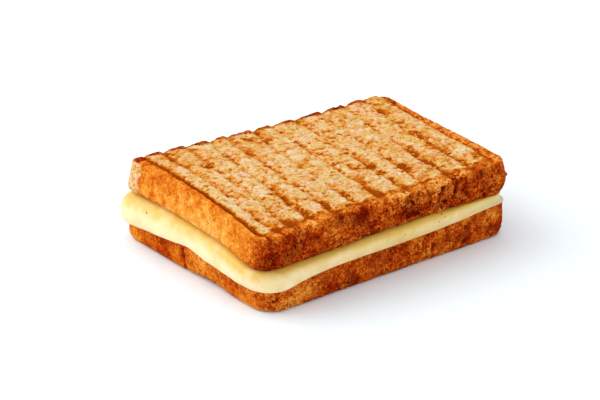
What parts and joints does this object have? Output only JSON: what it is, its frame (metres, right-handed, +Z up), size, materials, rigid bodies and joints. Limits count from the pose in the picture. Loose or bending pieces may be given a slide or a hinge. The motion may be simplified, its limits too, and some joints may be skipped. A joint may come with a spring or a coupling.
{
  "type": "grilled cheese sandwich",
  "caption": "Pressed toasted sandwich: ribbed wholemeal slices with melted cheese that bulges past the crust and hangs over the lower slice.",
  "frame": {"origin": "on the table, under the middle of the sandwich's bounding box", "axes": "+X along the long side, to the right in the pictured view; +Y to the back, along the grill ribs; +Z up"},
  "size_m": [0.1374, 0.1066, 0.0375],
  "materials": {
    "toasted_bread": "rough, porous, toasted wholemeal crumb",
    "toasted_crust": "rough browned crust",
    "melted_cheese": "smooth, waxy, slightly translucent"
  },
  "bodies": {
    "root": {"bottom_slice": "toasted_crust", "cheese": "melted_cheese", "top_slice": "toasted_bread"}
  },
  "joints": []
}
